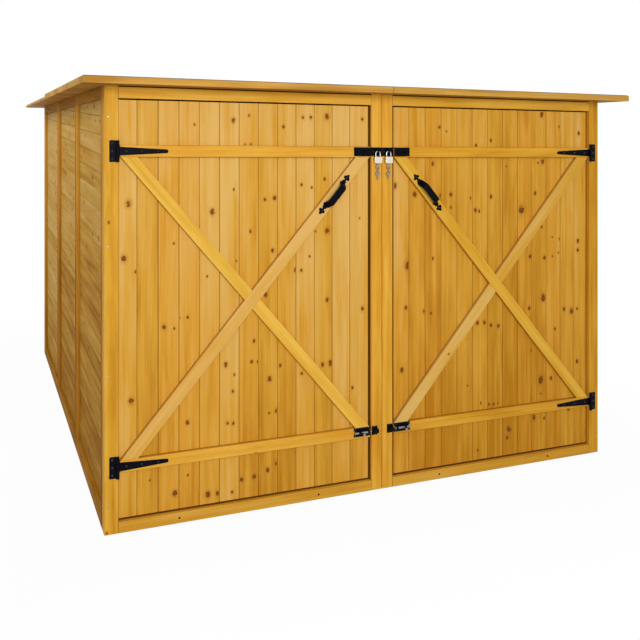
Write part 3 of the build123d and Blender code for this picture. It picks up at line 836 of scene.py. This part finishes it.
# The door rails' dark ends are painted shade, where they show through the gap beside the posts
doorTimbers = dict(
    left_door_rails=dict(seed="ledge", tones=(0.42, 0.42), jointAndShadeEnds=True),
    left_door_long_brace=dict(seed="brace", tones=(0.08,), deepen=0.35, material=boardPine),
    left_door_short_braces=dict(seed="brace", tones=(0.15,)),
    right_door_rails=dict(seed="ledge", tones=(0.55, 0.5), jointAndShadeEnds=True),
    right_door_long_brace=dict(seed="brace", tones=(0.38,)),
    right_door_short_braces=dict(seed="brace", tones=(0.2, 0.3), material=boardPine),
)
braceCut = 55 * mm  # level width of a brace's end


# The way a door's braces run, from the long brace's own box
def braceSlant(side, leansRight):
    low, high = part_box(side + "_door_long_brace")
    run = high.x - low.x - braceCut
    return Vector((run if leansRight else -run, 0, high.z - low.z))


for node, look in doorTimbers.items():
    side = node.split("_")[0]
    along = xAxis
    if "brace" in node:
        along = braceSlant(side, (side == "left") == node.endswith("_long_brace"))
    planedTimber(node, side + "_door", ledgesAndBraces | look, along, toFront)
print("door ledges and braces ready")

# Roof decks: boards across the slope, cut from the CAD decks, and felt on top
deckBoards = dict(width=92 * mm, seam=0.5 * mm, arris=1.2 * mm, tones=(0.45, 0.85))


def deckBoarding(node):
    draw = random.Random("deck" + node)
    heap = newHeap()
    for deck in solidsOf(node):
        low, high = boxOf(deck)
        count = round((high.y - low.y) / deckBoards["width"])
        step = (high.y - low.y) / count
        for i in range(count):
            board = deck.copy()
            half = deckBoards["seam"] / 2
            if i > 0:
                trim(board, (0, low.y + i * step + half, 0), toFront)
            if i < count - 1:
                trim(board, (0, low.y + (i + 1) * step - half, 0), toBack)
            roundEdges(board, deckBoards["arris"])
            place = placeAlong(middleOf(board), xAxis, zAxis)
            stack(heap, board, place, draw, draw.uniform(*deckBoards["tones"]))
        deck.free()
    makePiece(node + "_boards", heap, "shelter", roofPine, [node])


for node in ("roof_front_decks", "roof_rear_decks"):
    deckBoarding(node)
for node in ("roof_front_felt", "roof_rear_felt"):
    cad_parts[node].data.materials.clear()
    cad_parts[node].data.materials.append(roofFelt)
print("roof ready")


def addSolid(heap, solid):
    first = len(heap["points"])
    solid.verts.index_update()
    heap["points"] += [v.co[:] for v in solid.verts]
    heap["faces"] += [[first + v.index for v in f.verts] for f in solid.faces]
    solid.free()


# A bar between two corners
def flatBar(corner, other):
    middle = (Vector(corner) + Vector(other)) / 2
    size = [abs(a - b) for a, b in zip(corner, other)] + [1]
    bar = bmesh.new()
    bmesh.ops.create_cube(bar, size=1)
    bmesh.ops.transform(bar, matrix=Matrix.Translation(middle) @ Matrix.Diagonal(size), verts=bar.verts)
    return bar


# Hardware: the CAD solids with softened edges, each with what is added to it
softEdges = dict(plate=0.5 * mm, bolt=0.6 * mm, padlock=1.6 * mm, key=0.3 * mm)
softFrom = 40  # degrees, sharper edges are softened
metalCrease, headCrease = 32, 40  # degrees, sharper edges stay sharp when shaded smooth


def softenedMetal(node, body, material, radius, segments=2, addTo=None):
    heap = newHeap()
    for solid in solidsOf(node):
        extras = addTo(*boxOf(solid)) if addTo else []
        roundEdges(solid, radius, segments, softFrom)
        for part in [solid] + extras:
            addSolid(heap, part)
    makePiece(node + "_made", heap, body, material, [node], metalCrease)


# Hinge plates have a lip that comes close to the strap's knuckle
hingePlates = dict(knuckle=5.5 * mm, lipFrom=7.5 * mm, lipTo=4.7 * mm, lipHalf=14.6 * mm, metal=2.5 * mm)


def hingeLip(low, high):
    way = 1 if low.x + high.x < 0 else -1
    pin = high.x - hingePlates["knuckle"] if way > 0 else low.x + hingePlates["knuckle"]
    near, far = pin - way * hingePlates["lipTo"], pin - way * hingePlates["lipFrom"]
    level = (low.z + high.z) / 2
    return [flatBar((near, high.y, level - hingePlates["lipHalf"]),
                    (far, high.y - hingePlates["metal"], level + hingePlates["lipHalf"]))]


# Pull handles have a round boss pressed in the middle of each lobed end
handleEnds = dict(boss=8.5 * mm, place=77 * mm, metal=2.9 * mm, edge=0.8 * mm, steps=3, sides=32)


# A point on each end of a handle, at this reach from its middle and this depth from its back
def handlePoints(side, reach, depth):
    low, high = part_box(side + "_door_handle")
    along = braceSlant(side, side == "left").normalized()
    points = [(low + high) / 2 + along * end * reach for end in (-1, 1)]
    for point in points:
        point.y = high.y - depth
    return points


def handleBosses(low, high):
    bosses = []
    side = "left" if low.x + high.x < 0 else "right"
    for point in handlePoints(side, handleEnds["place"], handleEnds["metal"] / 2):
        boss = bmesh.new()
        bmesh.ops.create_cone(boss, cap_ends=True, segments=handleEnds["sides"], radius1=handleEnds["boss"],
                              radius2=handleEnds["boss"], depth=handleEnds["metal"],
                              matrix=Matrix.Translation(point) @ Matrix.Rotation(math.pi / 2, 4, "X"))
        roundEdges(boss, handleEnds["edge"], handleEnds["steps"], softFrom)
        bosses.append(boss)
    return bosses


for side in ("left", "right"):
    door = side + "_door"
    softenedMetal(side + "_hinge_plates", "shelter", blackSteel, softEdges["plate"],
                  addTo=hingeLip)
    for kind in ("_hinge_straps", "_hasp", "_bolt_plate"):
        softenedMetal(side + kind, door, blackSteel, softEdges["plate"])
    softenedMetal(door + "_handle", door, blackSteel, handleEnds["edge"], handleEnds["steps"],
                  addTo=handleBosses)
    softenedMetal(side + "_bolt", side + "_bolt_slide", zincSteel, softEdges["bolt"])
softenedMetal("bolt_keepers", "shelter", blackSteel, softEdges["plate"])
softenedMetal("padlock_bodies", "shelter", nickelBrass, softEdges["padlock"], segments=3)


# Round wire along points in one plane, with capped or joined ends
def bentWire(heap, points, planeNormal, radius, closed=False, sides=14):
    first = len(heap["points"])
    count = len(points)
    normal = Vector(planeNormal).normalized()
    for i, point in enumerate(points):
        before = points[i - 1] if i or closed else point
        after = points[(i + 1) % count] if i < count - 1 or closed else point
        across = normal.cross(after - before).normalized()
        for k in range(sides):
            angle = 2 * math.pi * k / sides
            offset = across * math.cos(angle) + normal * math.sin(angle)
            heap["points"].append((point + offset * radius)[:])
    for i in range(count if closed else count - 1):
        a, b = first + i * sides, first + (i + 1) % count * sides
        for k in range(sides):
            j = (k + 1) % sides
            heap["faces"].append([a + k, a + j, b + j, b + k])
    if not closed:
        heap["faces"].append([first + k for k in reversed(range(sides))])
        heap["faces"].append([first + (count - 1) * sides + k for k in range(sides)])


# Points of a hairpin: two legs that stand along the reach, and a half circle between them
def hairpinPoints(middle, spread, reach, legLength, turns=20):
    points = [middle + spread]
    for i in range(turns + 1):
        angle = math.pi * i / turns
        points.append(middle + reach * legLength + spread * math.cos(angle)
                      + reach * spread.length * math.sin(angle))
    return points + [middle - spread]


ringSteps = 32


# Padlock shackles and key rings of round wire, keys of flat plate
def padlockWire():
    heap = newHeap()
    for low, high in solidBoxes("padlock_shackles"):
        radius = (high.y - low.y) / 2
        middle = Vector(((low.x + high.x) / 2, (low.y + high.y) / 2, low.z))
        halfSpread = (high.x - low.x) / 2 - radius
        leg = high.z - low.z - radius - halfSpread
        bentWire(heap, hairpinPoints(middle, Vector((halfSpread, 0, 0)), Vector(zAxis), leg), yAxis, radius)
    makePiece("padlock_shackles_bent", heap, "shelter", chromedSteel, ["padlock_shackles"],
              metalCrease)
    heap = newHeap()
    for solid in solidsOf("padlock_keys"):
        low, high = boxOf(solid)
        if high.y - low.y > high.x - low.x:  # the ring stands across its keys
            radius = (high.x - low.x) / 2
            ringRadius = (high.z - low.z) / 2 - radius
            middle = (low + high) / 2
            angles = [2 * math.pi * i / ringSteps for i in range(ringSteps)]
            points = [middle + Vector((0, math.cos(a), math.sin(a))) * ringRadius for a in angles]
            bentWire(heap, points, xAxis, radius, True)
            solid.free()
        else:
            roundEdges(solid, softEdges["key"], sharp=softFrom)
            addSolid(heap, solid)
    makePiece("padlock_keys_cut", heap, "shelter", keySteel, ["padlock_keys"], metalCrease)


# Hasp staples: a plate with softened edges and a loop of round wire
stapleWire = dict(radius=2.5 * mm, halfSpread=7.5 * mm, leg=10 * mm, lift=4 * mm, plate=2 * mm, edge=0.5 * mm,
                  inward=1.4 * mm, outward=4 * mm)  # the plates nearly meet the hasps and each other


def haspStaples():
    heap = newHeap()
    for low, high in solidBoxes("hasp_staples"):
        middle = (low + high) / 2
        left, right = low.x - stapleWire["outward"], high.x + stapleWire["inward"]
        if middle.x > 0:
            left, right = low.x - stapleWire["inward"], high.x + stapleWire["outward"]
        plate = flatBar((left, high.y, low.z), (right, high.y - stapleWire["plate"], high.z))
        roundEdges(plate, stapleWire["edge"])
        addSolid(heap, plate)
        foot = Vector((middle.x, high.y - stapleWire["edge"], middle.z + stapleWire["lift"]))
        leg = stapleWire["leg"] - stapleWire["edge"]
        spread = Vector((0, 0, stapleWire["halfSpread"]))
        bentWire(heap, hairpinPoints(foot, spread, Vector(toFront), leg), xAxis, stapleWire["radius"])
    makePiece("hasp_staples_bent", heap, "shelter", blackSteel, ["hasp_staples"], metalCrease)


padlockWire()
haspStaples()
print("hardware ready")

# Screws with crossed slots, and nail heads
screwHead = dict(rings=(0.2, 0.42, 0.62, 0.8, 0.93, 1.0), sides=24, dome=0.32, slotReach=0.62, slotWidth=0.17,
                 slotDepth=0.24, sunk=0.2)
nailHead = dict(rings=(0.55, 0.9, 1.0), sides=14, dome=0.16, sunk=0.2)


def headOn(heap, centre, outward, radius, shape):
    outward = Vector(outward).normalized()
    aside = outward.orthogonal().normalized()
    upward = outward.cross(aside)
    first = len(heap["points"])
    sides = shape["sides"]
    levels = [(ring, shape["dome"] * (1 - ring * ring)) for ring in (0,) + shape["rings"]]
    for ring, level in levels + [(1.0, -shape["sunk"])]:  # the last row closes the head below the surface
        for k in range(sides if ring else 1):
            angle = 2 * math.pi * k / sides
            x, y = ring * math.cos(angle), ring * math.sin(angle)
            height = level
            if ring < shape.get("slotReach", 0) and min(abs(x), abs(y)) < shape["slotWidth"]:
                height -= shape["slotDepth"]
            heap["points"].append((centre + (aside * x + upward * y + outward * height) * radius)[:])
    for k in range(sides):
        heap["faces"].append([first, first + 1 + k, first + 1 + (k + 1) % sides])
    for row in range(len(shape["rings"])):
        a, b = first + 1 + row * sides, first + 1 + (row + 1) * sides
        for k in range(sides):
            j = (k + 1) % sides
            heap["faces"].append([a + k, b + k, b + j, a + j])
    heap["faces"].append([b + k for k in reversed(range(sides))])


# Where the screws go, in mm from each plate's own middle or ends
screws = dict(
    plateRadius=3.6 * mm,
    smallRadius=2.8 * mm,
    hingePlateLevels=(-25, 0, 25),
    hingePlateEdge=9.5,  # from the plate's outer edge
    strapPlaces=(34, 84, 138),  # from the knuckle's far side
    strapTaper=500,  # the screws get smaller with the strap
    handlePlace=75,  # from the handle's middle
    boltPlateEnds=6.5,
    boltPlateLevels=(-11.5, 11.5),
    keeperLevels=(-12.2, 12.2),
    staplePlaces=(-14, 14),
    metal=2.5 * mm,
    thinMetal=2 * mm,
)


# A screw on a plate's face, at a level from its middle in mm
def screwOn(heap, plate, x, level, radius, metal):
    low, high = plate
    centre = Vector((x, high.y - metal, (low.z + high.z) / 2 + level * mm))
    headOn(heap, centre, toFront, radius, screwHead)


def hardwareScrews():
    onShelter = newHeap()
    large, small = screws["plateRadius"], screws["smallRadius"]
    thick, thin = screws["metal"], screws["thinMetal"]
    for side, way in (("left", 1), ("right", -1)):
        onDoor = newHeap()
        for plate in solidBoxes(side + "_hinge_plates"):
            outer = plate[0].x if way > 0 else plate[1].x
            for level in screws["hingePlateLevels"]:
                screwOn(onShelter, plate, outer + way * screws["hingePlateEdge"] * mm, level, large, thick)
        for strap in solidBoxes(side + "_hinge_straps"):
            root = strap[0].x if way > 0 else strap[1].x
            for reach in screws["strapPlaces"]:
                radius = large * (1 - reach / screws["strapTaper"])
                screwOn(onDoor, strap, root + way * reach * mm, 0, radius, thick)
        for point in handlePoints(side, screws["handlePlace"] * mm, handleEnds["metal"]):
            headOn(onDoor, point, toFront, small, screwHead)
        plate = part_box(side + "_bolt_plate")
        for x in (plate[0].x + screws["boltPlateEnds"] * mm, plate[1].x - screws["boltPlateEnds"] * mm):
            for level in screws["boltPlateLevels"]:
                screwOn(onDoor, plate, x, level, small, thin)
        makePiece(side + "_door_screws", onDoor, side + "_door", screwSteel, smooth=headCrease)
    for keeper in solidBoxes("bolt_keepers"):
        for level in screws["keeperLevels"]:
            screwOn(onShelter, keeper, (keeper[0].x + keeper[1].x) / 2, level, small, thin)
    for staple in solidBoxes("hasp_staples"):
        for across in screws["staplePlaces"]:
            screwOn(onShelter, staple, (staple[0].x + staple[1].x) / 2 + across * mm, 0, small, thin)
    makePiece("frame_screws", onShelter, "shelter", screwSteel, smooth=headCrease)


# Clout nails round the felt, bright nails up the corner posts and dark ones along the sills
nails = dict(
    cloutRadius=4.5 * mm,
    cloutInset=20 * mm,
    cloutSpacing=150 * mm,
    postRadius=2.6 * mm,
    postLevels=(90, 508, 927, 1346),
    postInset=13,  # from the post's outer edge
    sillRadius=3.6 * mm,
    sillShares=(0.22, 0.77),  # along each sill
)


def cloutNails(heap, node):
    corners = [v.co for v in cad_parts[node].data.vertices]
    front = max(corners, key=lambda c: (round(-c.y, 4), c.z))
    back = max(corners, key=lambda c: (round(c.y, 4), c.z))
    slope = Vector((0, back.y - front.y, back.z - front.z))
    upward = Vector(xAxis).cross(slope).normalized()
    downhill = slope.normalized()
    low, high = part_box(node)
    inset, spacing = nails["cloutInset"], nails["cloutSpacing"]
    wide, deep = high.x - low.x - 2 * inset, slope.length - 2 * inset
    start = Vector((low.x + inset, front.y, front.z)) + downhill * inset
    across, down = round(wide / spacing), round(deep / spacing)
    places = [(wide * i / across, deep * end) for i in range(across + 1) for end in (0, 1)]
    places += [(wide * end, deep * i / down) for i in range(1, down) for end in (0, 1)]
    for x, y in places:
        headOn(heap, start + Vector(xAxis) * x + downhill * y, upward, nails["cloutRadius"], nailHead)


def roofNails():
    heap = newHeap()
    for node in ("roof_front_felt", "roof_rear_felt"):
        cloutNails(heap, node)
    makePiece("felt_nails", heap, "shelter", zincSteel, smooth=headCrease)


def frameNails():
    heap = newHeap()
    for low, high in solidBoxes("front_corner_posts"):
        inset = nails["postInset"] * mm
        x = low.x + inset if low.x < 0 else high.x - inset
        for level in nails["postLevels"]:
            headOn(heap, Vector((x, low.y, level * mm)), toFront, nails["postRadius"], nailHead)
    makePiece("post_nails", heap, "shelter", zincSteel, smooth=headCrease)
    heap = newHeap()
    for low, high in solidBoxes("sills"):
        for share in nails["sillShares"]:
            centre = Vector((low.x + share * (high.x - low.x), low.y, (low.z + high.z) / 2))
            headOn(heap, centre, toFront, nails["sillRadius"], nailHead)
    makePiece("sill_nails", heap, "shelter", blackSteel, smooth=headCrease)


hardwareScrews()
roofNails()
frameNails()
print("screws and nails ready")
